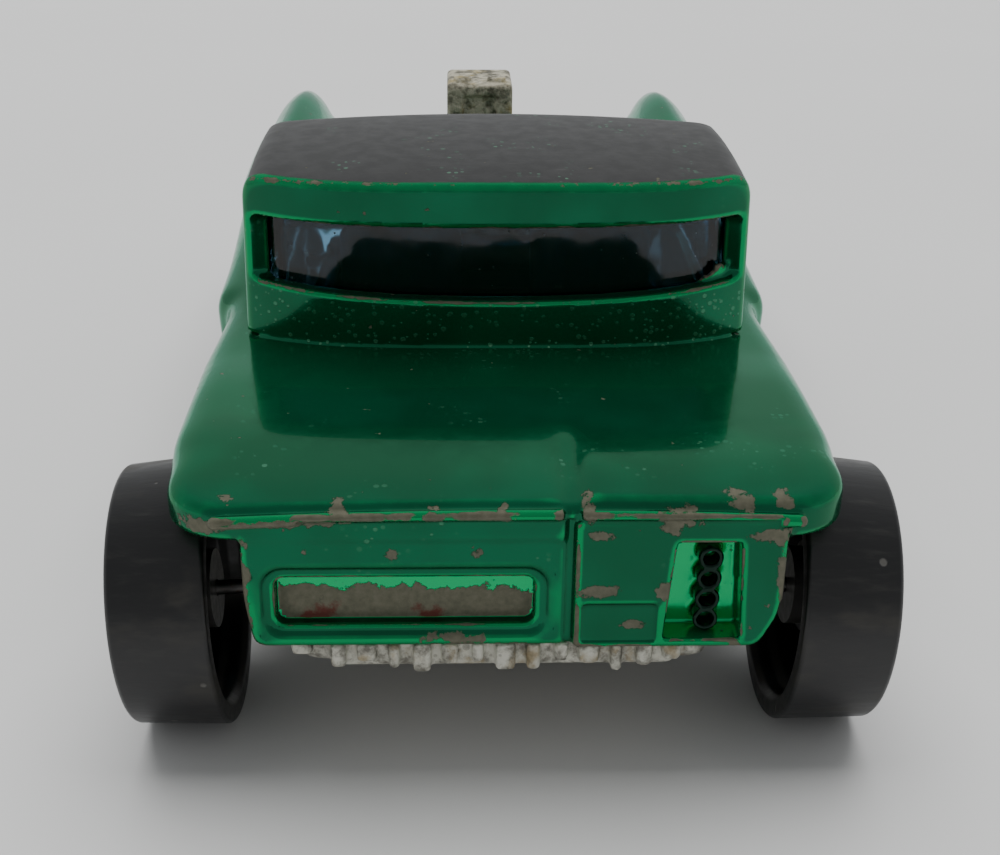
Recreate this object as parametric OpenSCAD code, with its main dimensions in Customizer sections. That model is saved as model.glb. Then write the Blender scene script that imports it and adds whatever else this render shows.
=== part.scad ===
// Small die-cast collector car: cast body with a tall cab, cast base,
// clear window piece, moulded interior, cast engine and four sprung wheels.
// Frame: Y runs to the nose, Z up, ground at Z = 0, centre of the length at Y = 0.

/* [Overall] */
// Length of the body from the tail edge to the nose
body_len = 64; // [58:0.2:76]
// Width of the body at its shoulders
body_w = 27.8; // [24:0.2:32]
// Height of the roof crown above the ground
roof_z = 20.2; // [17:0.1:24]
// Distance from the tail edge forward to the rear axle
tail_overhang = 5.8; // [5:0.1:12]
// Distance between the axles
wheelbase = 43; // [38:0.5:50]
// Thickness of the cast walls
skin = 0.8; // [0.6:0.05:1.2]

/* [Deck and tail] */
// Height of the deck edge at the tail
tail_z = 11.75; // [11:0.05:14]
// Height of the deck where it meets the cab
deck_z = 12.4; // [12:0.1:15]
// Lowest edge of the tail panel
panel_bottom_z = 6.05; // [5.8:0.05:9]
// Length of the recessed tail light bar
light_bar_w = 9.6; // [6:0.1:12]
// Width of the open pocket with the stacked pipes
pipe_pocket_w = 2.8; // [2:0.1:4]
// Diameter of one stacked pipe
pipe_d = 0.95; // [0.5:0.05:1.1]

/* [Cab and windows] */
// Width of the roof
roof_w = 22.6; // [19:0.1:25]
// Width of the cab at its base
cab_base_w = 22.9; // [20:0.1:26]
// Forward distance from the tail edge to the middle of the cab's rear wall
cab_back = 14.9; // [14:0.1:20]
// Length of the roof
roof_len = 12.9; // [12:0.1:18]
// Lower edge of the rear window
slot_bottom_z = 14.5; // [14:0.1:16]
// Upper edge of the rear window
slot_top_z = 18; // [17:0.1:18.6]
// Thickness of the clear window piece
pane = 0.7; // [0.5:0.05:1]

/* [Wheels] */
// Radius of a rear wheel at its inner edge
rear_r = 5.45; // [5.2:0.05:6.4]
// Width of a rear wheel
rear_w = 3.8; // [3:0.1:4.4]
// Distance from the centre line to the middle of a rear wheel
rear_x = 13; // [12.6:0.05:14.5]
// Radius of a front wheel at its inner edge
front_r = 4.85; // [4.4:0.05:5.6]
// Width of a front wheel
front_w = 3.2; // [2.6:0.1:3.8]
// Distance from the centre line to the middle of a front wheel
front_x = 12.7; // [12.2:0.05:14]
// Lean of each wheel, top outwards
camber = 3.5; // [0:0.1:5]

/* [Suspension] */
// Diameter of the spring wire
wire_d = 0.6; // [0.5:0.05:0.8]
// Length of each swinging arm along the car
arm_len = 6.5; // [5:0.1:8]
// Distance from the centre line to the arms
arm_x = 9.3; // [9:0.05:10]
// Radius of the wire's bends, at its centre
bend_r = 0.8; // [0.6:0.05:1.2]
// Gap around a wire in a bearing or a saddle, on the radius
running_gap = 0.05; // [0.02:0.01:0.1]

/* [Base] */
// Height of the base's underside above the ground
base_z = 3.5; // [3:0.1:5]
// Thickness of the base floor
base_t = 1; // [0.8:0.05:1.4]

/* [Hidden] */
$fn = 64;
// Fineness of the balls that the hulled forms are drawn over
ball_fn = 20;

tail_y = -body_len / 2;
nose_y = body_len / 2;
rear_y = tail_y + tail_overhang;
front_y = rear_y + wheelbase;
cab_y = tail_y + cab_back;
roof_front_y = cab_y + roof_len;
cowl_y = roof_front_y + 6.5;
half_w = body_w / 2;
wire_r = wire_d / 2;
bore_r = wire_r + running_gap;
rear_out_r = rear_r - rear_w * tan(camber);
front_out_r = front_r - front_w * tan(camber);
rear_zc = rear_w / 2 * sin(camber) + rear_out_r * cos(camber);
front_zc = front_w / 2 * sin(camber) + front_out_r * cos(camber);
// Height of the stub axle's line where it meets the arm
rear_arm_z = rear_zc + (rear_x - arm_x) * tan(camber);
front_arm_z = front_zc + (front_x - arm_x) * tan(camber);
rear_pivot_y = rear_y + arm_len;
front_pivot_y = front_y - arm_len;
post_ys = [rear_y - 2.2, front_y + 9];
post_tops = [tail_z - 0.15, deck_z - 0.3];
post_r = 1.25;
arch_gap = 0.45;
// Depth of the tail panel's wall, measured from the tail edge
tail_wall = 2.1;

paint_green = [0.02, 0.26, 0.13];
roof_black = [0.08, 0.08, 0.08];
bare_zinc = [0.68, 0.67, 0.61];
old_zinc = [0.52, 0.49, 0.38];
tray_black = [0.06, 0.06, 0.07];
blue_clear = [0.10, 0.17, 0.27, 0.6];
spring_steel = [0.5, 0.5, 0.5];
wheel_black = [0.04, 0.04, 0.045];
bearing_white = [0.75, 0.75, 0.72];
plated = [0.8, 0.8, 0.8];

// ---------------------------------------------------------------- helpers

// A ball on each side of the centre line
module balls(x, y, z, r) {
    for (side = [-1, 1])
        translate([side * x, y, z])
            sphere(r = r, $fn = ball_fn);
}

// A profile drawn in Y and Z, extruded across the car from x0 to x1
module across(x0, x1) {
    translate([x0, 0, 0])
        rotate([90, 0, 90])
            linear_extrude(x1 - x0)
                children();
}

// A profile drawn in X and Z, extruded forward from y0 to y1
module along(y0, y1) {
    translate([0, y1, 0])
        rotate([90, 0, 0])
            linear_extrude(y1 - y0)
                children();
}

// Points of a rectangle with round corners
function round_rect(x0, x1, y0, y1, r, n = 6) = [
    for (c = [[x1 - r, y1 - r, 0], [x0 + r, y1 - r, 90], [x0 + r, y0 + r, 180], [x1 - r, y0 + r, 270]])
        for (i = [0:n])
            [c[0] + r * cos(c[2] + 90 * i / n), c[1] + r * sin(c[2] + 90 * i / n)]
];

// ---------------------------------------------------------------- body

// Outer or inner form of the lower body: s is how far it is drawn in
module lower_form(s) {
    hull() {
        balls(half_w - 2.3 - s, tail_y + 2 + s, tail_z - 0.85 - s, 0.7);
        balls(half_w - 4, tail_y + 0.75 + s, tail_z - 0.75 - s, 0.7);
        balls(4, tail_y + 0.8 + s, tail_z - 0.7 - s, 0.7);
        balls(half_w - 1.9 - s, rear_y, deck_z - 0.95 - s, 1);
        balls(half_w - 1.8 - s, cab_y + 2, deck_z - 1 - s, 1);
        balls(half_w - 1 - s, rear_y + 18.5, deck_z - 1.2 - s, 1);
        balls(half_w - 1.2 - s, front_y - 12, deck_z - 0.6 - s, 1);
        balls(half_w - 1.5 - s, front_y + 3, deck_z - 0.8 - s, 1);
        balls(4, cowl_y, deck_z + 0.2 - s, 1);
        balls(9 - s, nose_y - 1.4 - s, 10.9 - s, 1.4);
        balls(8 - s, nose_y - 1.4 - s, 6.4 - s, 1.4);
        balls(half_w - 2 - s, front_y - 7, 5.8 - s, 1);
        balls(half_w - 2 - s, rear_y + 7.4, 5.8 - s, 1);
    }
}

// Cab: s draws the rear, sides and roof in
module cab_form(s) {
    hull() {
        for (z = [deck_z - 1, roof_z - 1.1 - s])
            for (p = [[0, 0.5], [6, 0.85], [cab_base_w / 2 - 0.5 - s, 2.9]])
                balls(p[0], cab_y + p[1] + s, z, 0.5);
        for (y = [3, 6.5, 10])
            balls(4, cab_y + y, roof_z - 0.55 - abs(y - 6.5) / 24 - s, 0.5);
        balls(roof_w / 2 - 2 - s, cab_y + 7, roof_z - 0.75 - s, 0.5);
        balls(roof_w / 2 - 0.5 - s, roof_front_y - 0.9 - s * 1.3, roof_z - 1.4 - s, 0.5);
        balls(roof_w / 2 - 0.3 - s, cowl_y - 0.5 - s * 1.3, deck_z - 1, 0.5);
    }
}

// Crowned fender over each front wheel
module front_fenders() {
    for (side = [-1, 1])
        hull() {
            translate([side * (half_w - 1.5), front_y - 14, deck_z - 1])
                sphere(r = 1.4, $fn = ball_fn);
            translate([side * (half_w - 2), front_y + 1.6, deck_z + 1.2])
                sphere(r = 1.8, $fn = ball_fn);
            translate([side * (half_w - 4), front_y + 10, deck_z - 1.6])
                sphere(r = 1.6, $fn = ball_fn);
        }
}

// Low blister on the hood beside the engine
module hood_blister() {
    hull() {
        translate([5.5, cowl_y + 1.5, deck_z - 0.6])
            sphere(r = 1.2, $fn = ball_fn);
        translate([5.5, front_y + 3, deck_z])
            sphere(r = 1.4, $fn = ball_fn);
    }
}

// Flat tail panel with slanted lower corners, closed at both sides
module tail_block() {
    along(tail_y + 0.6, tail_y + 4.4)
        polygon([[-9.6, tail_z - 0.5], [-9.4, panel_bottom_z + 0.6], [-8.9, panel_bottom_z],
            [9.3, panel_bottom_z], [9.9, panel_bottom_z + 1], [10.3, tail_z - 0.5]]);
    // The right part of the panel stands proud of the left
    along(tail_y + 0.35, tail_y + 1)
        polygon([[2.4, tail_z - 0.5], [2.4, panel_bottom_z], [9.3, panel_bottom_z],
            [9.9, panel_bottom_z + 1], [10.3, tail_z - 0.5]]);
}

module tail_hollow() {
    along(tail_y + tail_wall, tail_y + 6)
        polygon([[-8.9, tail_z - 0.9], [-8.6, panel_bottom_z - 1], [8.8, panel_bottom_z - 1],
            [9.4, tail_z - 0.9]]);
}

module body_hollow() {
    difference() {
        lower_form(skin);
        // The hollow stays ahead of the tail panel
        translate([-20, tail_y - 1, 0])
            cube([40, 1 + tail_wall, 20]);
    }
    // The underside is open between the rockers, and between the wheels
    translate([-half_w + 2.2 + skin, rear_y + 6.2, -1])
        cube([2 * (half_w - 2.2 - skin), front_y - rear_y - 12.8, 8]);
    translate([-8.6, tail_y + 3, -1])
        cube([17.2, rear_y + 4 - tail_y, 11]);
    translate([-8.6, front_y - 8, -1])
        cube([17.2, nose_y - front_y + 6.6, 8]);
}

// Everything the wheels turn in
module wheel_arches() {
    for (side = [-1, 1]) {
        translate([side * 18, rear_y, rear_zc])
            rotate([0, -90 * side, 0])
                cylinder(r = rear_r + arch_gap, h = 7.6);
        translate([side * 18, front_y, front_zc])
            rotate([0, -90 * side, 0])
                cylinder(r = front_r + arch_gap + 0.35, h = 7.6);
    }
}

module windows() {
    // Rear slot
    along(cab_y - 1, cab_y + 3.4)
        polygon(round_rect(-10.2, 10.2, slot_bottom_z, slot_top_z, 0.5));
    // Side windows
    across(-14, 14)
        polygon([[cab_y + 5, slot_bottom_z - 0.4], [cowl_y - 4.2, slot_bottom_z - 0.4],
            [roof_front_y - 1.6, slot_top_z], [cab_y + 5, slot_top_z]]);
    // Windscreen
    along(roof_front_y - 1.2, cowl_y + 2)
        polygon(round_rect(-9.6, 9.6, slot_bottom_z - 0.4, slot_top_z - 0.2, 0.6));
}

// Four short pipes stacked in the open pocket
module stacked_pipes() {
    for (i = [0:3])
        translate([7.45, tail_y + 2, panel_bottom_z + 0.9 + i * (pipe_d - 0.07)])
            rotate([90, 0, 0])
                difference() {
                    cylinder(d = pipe_d, h = 1.4, $fn = 24);
                    translate([0, 0, 0.7])
                        cylinder(d = pipe_d - 0.35, h = 1, $fn = 24);
                }
}

// Grille opening and a pair of round lamp recesses on each side
module nose_recesses() {
    along(nose_y - 0.7, nose_y + 1)
        polygon(round_rect(-3.9, 3.9, 7, 10.6, 0.5));
    for (side = [-1, 1])
        for (x = [5.4, 7.7])
            translate([side * x, nose_y - 0.6, 9.2])
                rotate([-90, 0, 0])
                    cylinder(r = 0.95, h = 2, $fn = 32);
}

// Posts that hold the base, with heads peened over below it
module posts() {
    for (i = [0, 1]) {
        translate([0, post_ys[i], base_z + 0.5])
            cylinder(r = post_r, h = post_tops[i] - base_z - 0.5);
        translate([0, post_ys[i], base_z + 0.1])
            cylinder(r = post_r + 0.5, h = 0.4);
    }
}

module body_casting() {
    color(paint_green) {
        difference() {
            union() {
                lower_form(0);
                front_fenders();
                hood_blister();
                tail_block();
                cab_form(0);
            }
            body_hollow();
            cab_form(skin);
            tail_hollow();
            wheel_arches();
            windows();
            // Long light bar recess in the left part of the tail
            along(tail_y, tail_y + 1.25)
                polygon(round_rect(-8.6, -8.6 + light_bar_w, 6.8, 8.85, 0.4));
            // Open pocket for the stacked pipes
            along(tail_y - 1, tail_y + 1.5)
                polygon([[5.85, panel_bottom_z + 0.3], [5.85 + pipe_pocket_w, panel_bottom_z + 0.3],
                    [5.65 + pipe_pocket_w, tail_z - 1.3], [6.2, tail_z - 1.3]]);
            // Opening in the hood that the engine stands in
            translate([-4, front_y - 9, deck_z - 3])
                cube([8, 9.2, 6]);
            nose_recesses();
        }
        stacked_pipes();
        posts();
    }
    // The painted roof skin, drawn in the same casting
    color(roof_black)
        difference() {
            intersection() {
                cab_form(0);
                translate([-roof_w / 2 + 0.5, cab_y + 1, roof_z - 1.15])
                    cube([roof_w - 1, roof_len - 1.4, 2]);
            }
            cab_form(skin);
        }
}

// ---------------------------------------------------------------- base

module wire_saddle(x, y, z) {
    translate([x - 0.6, y - 0.9, base_z + base_t - 0.02])
        cube([1.2, 1.8, z + 0.8 - base_z - base_t]);
}

module base_outline() {
    polygon([
        [-6.5, tail_y + 1], [6.3, tail_y + 1], [7.9, tail_y + 2.4], [7.9, rear_y + 7],
        [10.6, rear_y + 8.2], [10.6, front_y - 8.6], [8, front_y - 7.2], [8, front_y + 9.8],
        [6.8, nose_y - 1.7], [-6.8, nose_y - 1.7], [-8, front_y + 9.8], [-8, front_y - 7.2],
        [-10.6, front_y - 8.6], [-10.6, rear_y + 8.2], [-7.9, rear_y + 7], [-7.9, tail_y + 2.4]
    ]);
}

// The base seen from the side: a flat floor that sweeps up at both ends
module base_profile() {
    polygon([
        [tail_y + 1, base_z + 1.4], [rear_y - 1.6, base_z], [front_y + 6, base_z],
        [nose_y - 1.7, base_z + 1.5], [nose_y - 1.7, base_z + 2.7], [front_y + 6, base_z + base_t],
        [rear_y - 1.6, base_z + base_t], [tail_y + 2, base_z + 2.2],
        [tail_y + 2, panel_bottom_z - 0.05], [tail_y + 1, panel_bottom_z - 0.05]
    ]);
}

// Cast knobs across the back of the base, like the fins of a gear case
module base_knobs() {
    for (i = [0:8])
        translate([-5.9 + i * 1.46, tail_y + 1.05, panel_bottom_z - 0.62])
            sphere(r = 0.55, $fn = 20);
}

// Axle housing, engine pan and two exhaust pipes in relief below the floor
module base_relief() {
    translate([-7.4, rear_y, base_z + 0.6])
        rotate([0, 90, 0])
            cylinder(r = 0.95, h = 14.8);
    translate([0, rear_y + 0.6, base_z + 0.7])
        sphere(r = 1.7);
    translate([-2.6, front_y - 5.6, base_z - 0.5])
        cube([5.2, 7.6, 1]);
    for (side = [-1, 1])
        translate([side * 5.4, rear_y + 5, base_z + 0.2])
            rotate([-90, 0, 0])
                cylinder(r = 0.7, h = 27);
}

module base_plate() {
    color(bare_zinc)
        difference() {
            union() {
                intersection() {
                    translate([0, 0, base_z - 1])
                        linear_extrude(8)
                            base_outline();
                    across(-12, 12)
                        base_profile();
                }
                base_knobs();
                base_relief();
                // Saddles that hold the spring wires
                for (x = [-6.9, -2.6, 2.6, 6.9]) {
                    wire_saddle(x, rear_pivot_y, rear_arm_z);
                    wire_saddle(x, front_pivot_y, front_arm_z);
                }
            }
            for (y = [rear_pivot_y, front_pivot_y])
                translate([-9, y, y < 0 ? rear_arm_z : front_arm_z])
                    rotate([0, 90, 0])
                        cylinder(r = bore_r, h = 18);
            for (y = post_ys)
                translate([0, y, base_z - 3]) {
                    cylinder(r = post_r + 0.05, h = 8);
                    cylinder(r = post_r + 0.7, h = 3.5);
                }
        }
}

// ---------------------------------------------------------------- engine

module engine_casting() {
    color(old_zinc) {
        // Block, standing on the base by a foot ahead of the wires
        translate([-2.6, front_y - 8.4, 7])
            cube([5.2, 8, 5]);
        translate([-1.8, front_y - 4.4, base_z + base_t])
            cube([3.6, 3.4, 3]);
        // Cylinder heads, leaning out at each side
        for (side = [-1, 1])
            for (i = [0:3])
                translate([side * 1.9, front_y - 7.4 + i * 1.9, 11.6])
                    rotate([0, side * 40, 0])
                        cylinder(r = 0.8, h = 1.7, $fn = 24);
        // Intake case with a scoop on top
        translate([-1.5, front_y - 7.6, 11.8])
            cube([3, 6.4, 3]);
        difference() {
            translate([-1.85, front_y - 6.6, 14.7])
                cube([3.7, 4.6, 3.5]);
            translate([-1.4, front_y - 3.4, 15.6])
                cube([2.8, 1.6, 1.9]);
        }
        for (x = [-0.95, 0.95])
            translate([x, front_y - 5.6, 18.1])
                cylinder(r = 0.6, h = 0.4, $fn = 24);
    }
}

// ---------------------------------------------------------------- interior

module seat(x) {
    translate([x - 3, cab_y + 4.8, 8])
        cube([6, 5.2, 1.8]);
    translate([x - 2.8, cab_y + 4.2, 8])
        cube([5.6, 1.4, 8.2]);
}

module interior_tray() {
    color(tray_black) {
        difference() {
            translate([-9, cab_y + 3.4, 7])
                cube([18, 16, 4]);
            translate([-8.2, cab_y + 5.4, 8])
                cube([16.4, 13.2, 4]);
        }
        seat(-4.4);
        seat(4.4);
        // Dashboard
        translate([-8.6, cab_y + 16, 10.5])
            cube([17.2, 1.8, 1.4]);
        // Steering wheel on its column
        translate([-4.4, cab_y + 13.4, 13])
            rotate([60, 0, 0]) {
                rotate_extrude($fn = 32)
                    translate([1.25, 0])
                        circle(r = 0.25, $fn = 16);
                cube([2.4, 0.4, 0.4], center = true);
            }
        translate([-4.4, cab_y + 16.4, 11.27])
            rotate([60, 0, 0])
                cylinder(r = 0.3, h = 3.6, $fn = 16);
    }
}

// ---------------------------------------------------------------- windows

module window_insert() {
    color(blue_clear)
        difference() {
            cab_form(skin + 0.2);
            cab_form(skin + 0.2 + pane);
            translate([-20, -40, 0])
                cube([40, 80, deck_z + 1.1]);
        }
}

// ---------------------------------------------------------------- wires

// A quarter bend of wire, from the X axis round to the Y axis
module wire_bend() {
    rotate_extrude(angle = 90)
        translate([bend_r, 0])
            circle(r = wire_r);
}

// Right half of an axle's spring wire, drawn with the axle at Y = 0 and the pivot ahead of it
module wire_half(arm_z, wheel_x, half_width) {
    stub_end = (wheel_x - arm_x) / cos(camber) + half_width - 0.7;
    translate([1.4, arm_len, arm_z])
        rotate([0, 90, 0])
            cylinder(r = wire_r, h = arm_x - bend_r - 1.4);
    translate([arm_x - bend_r, arm_len - bend_r, arm_z])
        wire_bend();
    translate([arm_x, bend_r, arm_z])
        rotate([-90, 0, 0])
            cylinder(r = wire_r, h = arm_len - 2 * bend_r);
    // Stub axle on the wheel's own line, with an upset head at its end
    translate([arm_x, 0, arm_z])
        rotate([0, camber, 0]) {
            translate([bend_r, bend_r, 0])
                rotate(180)
                    wire_bend();
            translate([bend_r, 0, 0])
                rotate([0, 90, 0])
                    cylinder(r = wire_r, h = stub_end - bend_r);
            translate([stub_end - 0.4, 0, 0])
                rotate([0, 90, 0])
                    cylinder(r = wire_r + 0.25, h = 0.4);
        }
}

module spring_wire(side, axle_y, arm_dir, arm_z, wheel_x, half_width) {
    color(spring_steel)
        translate([0, axle_y, 0])
            mirror([side < 0 ? 1 : 0, 0, 0])
                mirror([0, arm_dir < 0 ? 1 : 0, 0])
                    wire_half(arm_z, wheel_x, half_width);
}

module wire_rl() { spring_wire(-1, rear_y, 1, rear_arm_z, rear_x, rear_w / 2); }
module wire_rr() { spring_wire(1, rear_y, 1, rear_arm_z, rear_x, rear_w / 2); }
module wire_fl() { spring_wire(-1, front_y, -1, front_arm_z, front_x, front_w / 2); }
module wire_fr() { spring_wire(1, front_y, -1, front_arm_z, front_x, front_w / 2); }

// ---------------------------------------------------------------- wheels

// Puts a wheel part, drawn about Z with its outer face up, at its axle
module at_wheel(side, x, y, z) {
    translate([side * x, y, z])
        rotate([0, side * (90 + camber), 0])
            children();
}

// Moulded wheel: a coned tread, open at the inner face, closed at the outer
module wheel(r_in, r_out, w) {
    h = w / 2;
    color(wheel_black)
        rotate_extrude()
            polygon([
                [1.3, -h + 1.2], [1.9, -h + 1.2], [1.9, h - 1.3], [r_in - 1.9, h - 1.3],
                [r_in - 1.1, -h + 0.5], [r_in - 0.8, -h + 0.5], [r_in - 0.8, -h], [r_in - 0.12, -h],
                [r_in, -h + 0.12], [r_out, h - 0.12], [r_out - 0.12, h], [r_out - 0.7, h],
                [r_out - 0.9, h - 0.5], [1.3, h - 0.5]
            ]);
}

// Plain bearing pressed into the wheel, running on the wire
module bearing(w) {
    h = w / 2;
    color(bearing_white)
        rotate_extrude()
            polygon([[bore_r, -h + 0.5], [1.6, -h + 0.5], [1.6, -h + 1.2], [1.3, -h + 1.2],
                [1.3, h - 1.2], [bore_r, h - 1.2]]);
}

// Plated disc with spokes, set in the outer face
module hub_face(r, w) {
    h = w / 2;
    color(plated)
        difference() {
            union() {
                rotate_extrude()
                    polygon([[0, h - 0.5], [r, h - 0.5], [r, h + 0.05], [r - 0.5, h + 0.05],
                        [r - 0.8, h - 0.2], [1.2, h - 0.2], [0.9, h + 0.1], [0, h + 0.1]]);
                for (i = [0:4])
                    rotate(i * 72)
                        translate([0.6, -0.45, h - 0.45])
                            cube([r - 1, 0.9, 0.45]);
            }
            translate([0, 0, h - 1.6])
                cylinder(r = 0.8, h = 1.3);
        }
}

module wheel_rl() { at_wheel(-1, rear_x, rear_y, rear_zc) wheel(rear_r, rear_out_r, rear_w); }
module wheel_rr() { at_wheel(1, rear_x, rear_y, rear_zc) wheel(rear_r, rear_out_r, rear_w); }
module wheel_fl() { at_wheel(-1, front_x, front_y, front_zc) wheel(front_r, front_out_r, front_w); }
module wheel_fr() { at_wheel(1, front_x, front_y, front_zc) wheel(front_r, front_out_r, front_w); }
module bearing_rl() { at_wheel(-1, rear_x, rear_y, rear_zc) bearing(rear_w); }
module bearing_rr() { at_wheel(1, rear_x, rear_y, rear_zc) bearing(rear_w); }
module bearing_fl() { at_wheel(-1, front_x, front_y, front_zc) bearing(front_w); }
module bearing_fr() { at_wheel(1, front_x, front_y, front_zc) bearing(front_w); }
module hub_rl() { at_wheel(-1, rear_x, rear_y, rear_zc) hub_face(rear_out_r - 0.95, rear_w); }
module hub_rr() { at_wheel(1, rear_x, rear_y, rear_zc) hub_face(rear_out_r - 0.95, rear_w); }
module hub_fl() { at_wheel(-1, front_x, front_y, front_zc) hub_face(front_out_r - 0.95, front_w); }
module hub_fr() { at_wheel(1, front_x, front_y, front_zc) hub_face(front_out_r - 0.95, front_w); }

body_casting();
base_plate();
engine_casting();
interior_tray();
window_insert();
wire_rl();
wire_rr();
wire_fl();
wire_fr();
wheel_rl();
wheel_rr();
wheel_fl();
wheel_fr();
bearing_rl();
bearing_rr();
bearing_fl();
bearing_fr();
hub_rl();
hub_rr();
hub_fl();
hub_fr();
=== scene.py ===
import math

import bpy
import numpy as np
from mathutils import Matrix, Vector


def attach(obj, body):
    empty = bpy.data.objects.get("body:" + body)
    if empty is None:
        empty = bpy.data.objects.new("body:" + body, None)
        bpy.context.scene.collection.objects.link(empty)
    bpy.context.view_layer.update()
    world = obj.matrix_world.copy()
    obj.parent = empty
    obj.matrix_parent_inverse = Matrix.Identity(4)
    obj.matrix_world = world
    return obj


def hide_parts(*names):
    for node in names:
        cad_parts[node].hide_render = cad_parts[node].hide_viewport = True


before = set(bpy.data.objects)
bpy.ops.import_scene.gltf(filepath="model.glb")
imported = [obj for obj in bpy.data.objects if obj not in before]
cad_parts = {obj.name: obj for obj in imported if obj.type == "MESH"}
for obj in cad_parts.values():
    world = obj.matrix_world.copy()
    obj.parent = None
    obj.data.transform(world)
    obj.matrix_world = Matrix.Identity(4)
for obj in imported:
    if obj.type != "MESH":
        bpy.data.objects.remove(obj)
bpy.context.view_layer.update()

# ---------------------------------------------------------------- body casting
# The body is one zinc casting: deck, tail, cab, roof, fenders and hood. It is polished, then
# sprayed with transparent green, and the roof is sprayed black. Edges are soft under the paint,
# and the paint has worn through to the zinc where the car has been knocked.
MM = 0.001
TAIL_Y = -32.0
NOSE_Y = 32.0
REAR_Y = -26.2
FRONT_Y = 16.8
REAR_ZC = 5.324
FRONT_ZC = 4.743
CAB_Y = -17.1
PANEL_Y = -31.5       # face of the tail panel
STEP_X = 2.35         # where the tail changes from its left part to its right part
PANEL_Z = 5.98        # lowest edge of the tail panel
LIGHT_BAR = ((-8.6, 6.8), (1.0, 8.83))   # low and high corner of its recess, in x and z
SCREEN_LEAN = 0.956   # how far the windscreen falls back for each unit of height
SILL_Z = 13.1         # height at which the windscreen meets the hood
PIPE_X, PIPE_Z, PIPE_PITCH, PIPE_R = 7.42, 6.95, 0.875, 0.47   # lowest of the stacked pipes


def curve(points, soft):
    """A smooth line through rounded-off points, as a function of one coordinate."""
    at, value = np.array(points, float).T
    dense = np.arange(at[0] - 4, at[-1] + 4, 0.02)
    reach = int(3 * soft / 0.02)
    bell = np.exp(-0.5 * (np.arange(-reach, reach + 1) * 0.02 / soft) ** 2)
    raw = np.pad(np.interp(dense, at, value), reach, "edge")
    smooth = np.convolve(raw, bell / bell.sum(), "valid")
    return lambda v: np.interp(v, dense, smooth)


def both(a, b, k):
    """Overlap of two forms, with a soft edge about k wide."""
    h = np.maximum(k - np.abs(a - b), 0) / k
    return np.maximum(a, b) + h * h * k * 0.25


def either(a, b, k):
    """Two forms joined, with a soft fillet about k wide."""
    return -both(-a, -b, k)


def less(a, b, k):
    """Form a with form b cut away."""
    return both(a, -b, k)


def ramp(v, start, end):
    """0 before start, 1 after end, smooth between."""
    t = np.clip((v - start) / (end - start), 0, 1)
    return t * t * (3 - 2 * t)


def round_rect(u, v, low, high, r):
    """Distance from a rectangle with corners of radius r, seen along the third axis."""
    du = np.abs(u - (low[0] + high[0]) / 2) - (high[0] - low[0]) / 2 + r
    dv = np.abs(v - (low[1] + high[1]) / 2) - (high[1] - low[1]) / 2 + r
    return np.hypot(np.maximum(du, 0), np.maximum(dv, 0)) + np.minimum(np.maximum(du, dv), 0) - r


def soft_box(x, y, z, low, high, r):
    """Distance from a box with edges of radius r."""
    d = [np.abs(v - (a + b) / 2) - (b - a) / 2 + r for v, a, b in zip((x, y, z), low, high)]
    outside = np.sqrt(sum(np.maximum(v, 0) ** 2 for v in d))
    return outside + np.minimum(np.maximum(np.maximum(d[0], d[1]), d[2]), 0) - r


def steps(*spans):
    """Grid lines from spans of (start, end, step)."""
    lines = [np.arange(a, b - 1e-6, s) for a, b, s in spans]
    return np.concatenate(lines + [[spans[-1][1]]])


def net(field, xs, ys, zs):
    """Points and four-sided faces over the zero surface of a field, on a grid of unequal steps."""
    axes = (xs, ys, zs)
    values = np.empty([len(a) for a in axes], np.float32)
    for i in range(0, len(xs), 8):
        values[i:i + 8] = field(xs[i:i + 8, None, None], ys[None, :, None], zs[None, None, :])
    solid = values < 0
    n = [len(a) - 1 for a in axes]
    corners = [(a, b, c) for a in (0, 1) for b in (0, 1) for c in (0, 1)]
    count = sum(solid[a:a + n[0], b:b + n[1], c:c + n[2]].astype(np.int8) for a, b, c in corners)
    cells = np.argwhere((count > 0) & (count < 8))
    number = np.full(n, -1, np.int32)
    number[tuple(cells.T)] = np.arange(len(cells))
    # Each cell's point is the mean of where the surface crosses its edges
    total = np.zeros((len(cells), 3))
    hits = np.zeros(len(cells))
    for p in corners:
        for axis in range(3):
            if p[axis]:
                continue
            q = list(p)
            q[axis] = 1
            vp = values[tuple((cells + p).T)]
            vq = values[tuple((cells + q).T)]
            cross = (vp < 0) != (vq < 0)
            t = np.where(cross, vp / np.where(vp == vq, 1, vp - vq), 0)
            place = np.stack([axes[d][cells[:, d] + p[d]] for d in range(3)], 1)
            place[:, axis] += t * (axes[axis][cells[:, axis] + 1] - axes[axis][cells[:, axis]])
            total += place * cross[:, None]
            hits += cross
    points = total / hits[:, None]
    # A few short steps along the slope bring every point onto the surface
    for _ in range(4):
        value, slope = slope_at(field, points)
        steep = np.maximum((slope ** 2).sum(1), 0.2)
        move = -(value / steep)[:, None] * slope
        length = np.linalg.norm(move, axis=1, keepdims=True)
        points += move * np.minimum(1, 0.06 / np.maximum(length, 1e-9))
    rings = []
    for axis in range(3):
        u, w = [d for d in range(3) if d != axis]
        low, high = [slice(None)] * 3, [slice(None)] * 3
        low[axis], high[axis] = slice(0, -1), slice(1, None)
        here, there = solid[tuple(low)], solid[tuple(high)]
        edge = np.argwhere(here != there)
        inside = (edge[:, u] > 0) & (edge[:, w] > 0) & (edge[:, u] < n[u]) & (edge[:, w] < n[w])
        edge = edge[inside]
        ring = []
        for du, dw in ((1, 1), (0, 1), (0, 0), (1, 0)):
            cell = edge.copy()
            cell[:, u] -= du
            cell[:, w] -= dw
            ring.append(number[tuple(cell.T)])
        ring = np.stack(ring, 1)
        leaving = here[tuple(edge.T)]
        turn = leaving if axis == 1 else ~leaving
        ring[turn] = ring[turn][:, ::-1]
        rings.append(ring)
    return points, np.concatenate(rings)


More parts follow.
